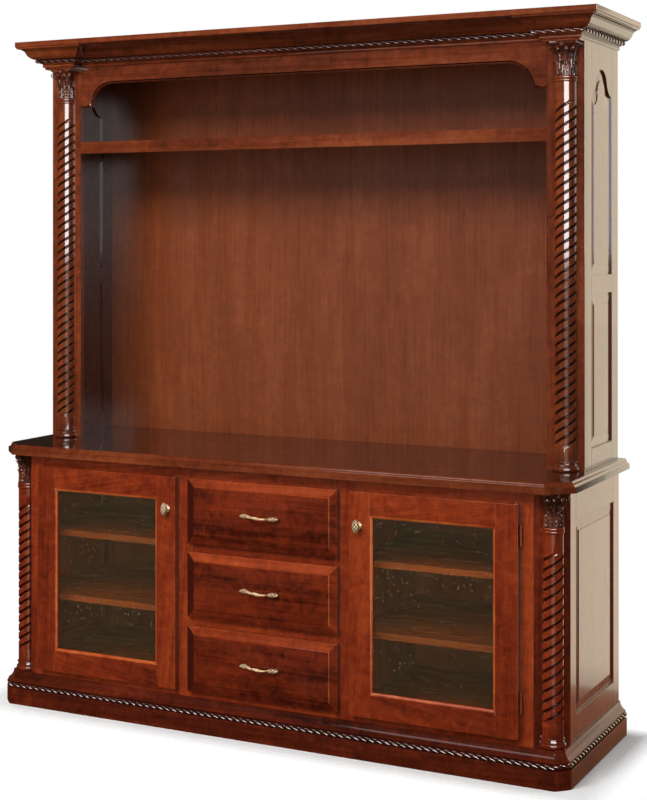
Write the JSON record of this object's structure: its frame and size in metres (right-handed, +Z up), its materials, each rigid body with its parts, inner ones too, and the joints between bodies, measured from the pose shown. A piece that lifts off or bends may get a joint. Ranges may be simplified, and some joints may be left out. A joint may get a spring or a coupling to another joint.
{
  "type": "entertainment center",
  "caption": "Tall cherry media cabinet: glass doors and drawers in a low base, with an open hutch, rope-turned columns, a shelf and a heavy crown.",
  "frame": {"origin": "on the floor, under the centre of the cabinet's bounding box", "axes": "+X to the viewer's right along the width, +Y towards the wall behind, +Z up"},
  "size_m": [2.061, 0.6144, 2.222],
  "materials": {
    "cherry_wood": "red-brown stained cherry under a high-gloss lacquer",
    "carved_cherry": "turned and carved wood, dark stain in the hollows, gloss lacquer",
    "cabinet_interior": "veneered boards in a satin lacquer",
    "aged_brass": "antiqued brass, satin",
    "zinc_steel": "zinc-plated pressed steel",
    "seeded_glass": "clear seeded glass with small bubbles"
  },
  "bodies": {
    "cabinet": {"base_back": "cabinet_interior", "base_bottom": "cabinet_interior", "base_capital_left": "carved_cherry", "base_capital_right": "carved_cherry", "base_column_left": "carved_cherry", "base_column_right": "carved_cherry", "base_corner_cant_left": "cherry_wood", "base_corner_cant_right": "cherry_wood", "base_face_frame": "cherry_wood", "base_partitions": "cabinet_interior", "base_shelves": "cabinet_interior", "base_side_frame_left": "cherry_wood", "base_side_frame_right": "cherry_wood", "base_side_panel_left": "cherry_wood", "base_side_panel_right": "cherry_wood", "base_stretchers": "cabinet_interior", "base_top": "cherry_wood", "cabinet_hinge_leaves": "aged_brass", "crown_blocks": "cherry_wood", "crown_board": "cherry_wood", "crown_moulding": "cherry_wood", "crown_rope": "cherry_wood", "drawer_slide_channels": "zinc_steel", "hutch_back": "cabinet_interior", "hutch_capital_left": "carved_cherry", "hutch_capital_right": "carved_cherry", "hutch_column_left": "carved_cherry", "hutch_column_right": "carved_cherry", "hutch_shelf": "cherry_wood", "hutch_side_frame_left": "cherry_wood", "hutch_side_frame_right": "cherry_wood", "hutch_side_panels_left": "cherry_wood", "hutch_side_panels_right": "cherry_wood", "hutch_stile_left": "cherry_wood", "hutch_stile_right": "cherry_wood", "hutch_top": "cabinet_interior", "hutch_valance": "cherry_wood", "plinth_frame": "cherry_wood", "plinth_rope": "cherry_wood", "shelf_clips": "zinc_steel"},
    "left_door": {"door_left_frame": "cherry_wood", "door_left_glass": "seeded_glass", "door_left_knob": "aged_brass", "door_left_hinge_leaves": "aged_brass"},
    "right_door": {"door_right_frame": "cherry_wood", "door_right_glass": "seeded_glass", "door_right_knob": "aged_brass", "door_right_hinge_leaves": "aged_brass"},
    "bottom_drawer": {"drawer_bottom_front": "cherry_wood", "drawer_bottom_box": "cabinet_interior", "drawer_bottom_slides": "zinc_steel", "drawer_bottom_pull": "aged_brass"},
    "middle_drawer": {"drawer_middle_front": "cherry_wood", "drawer_middle_box": "cabinet_interior", "drawer_middle_slides": "zinc_steel", "drawer_middle_pull": "aged_brass"},
    "top_drawer": {"drawer_top_front": "cherry_wood", "drawer_top_box": "cabinet_interior", "drawer_top_slides": "zinc_steel", "drawer_top_pull": "aged_brass"}
  },
  "joints": [
    {"name": "left_door_hinge", "type": "hinge", "parent": "cabinet", "child": "left_door", "pos_m": [-0.841, -0.26525, 0.4615], "axis": [0, 0, -1], "range_deg": [0, 110]},
    {"name": "right_door_hinge", "type": "hinge", "parent": "cabinet", "child": "right_door", "pos_m": [0.841, -0.26525, 0.4615], "axis": [0, 0, 1], "range_deg": [0, 110]},
    {"name": "bottom_drawer_slide", "type": "slide", "parent": "cabinet", "child": "bottom_drawer", "axis": [0, -1, 0], "range_m": [0, 0.38]},
    {"name": "middle_drawer_slide", "type": "slide", "parent": "cabinet", "child": "middle_drawer", "axis": [0, -1, 0], "range_m": [0, 0.38]},
    {"name": "top_drawer_slide", "type": "slide", "parent": "cabinet", "child": "top_drawer", "axis": [0, -1, 0], "range_m": [0, 0.38]}
  ]
}
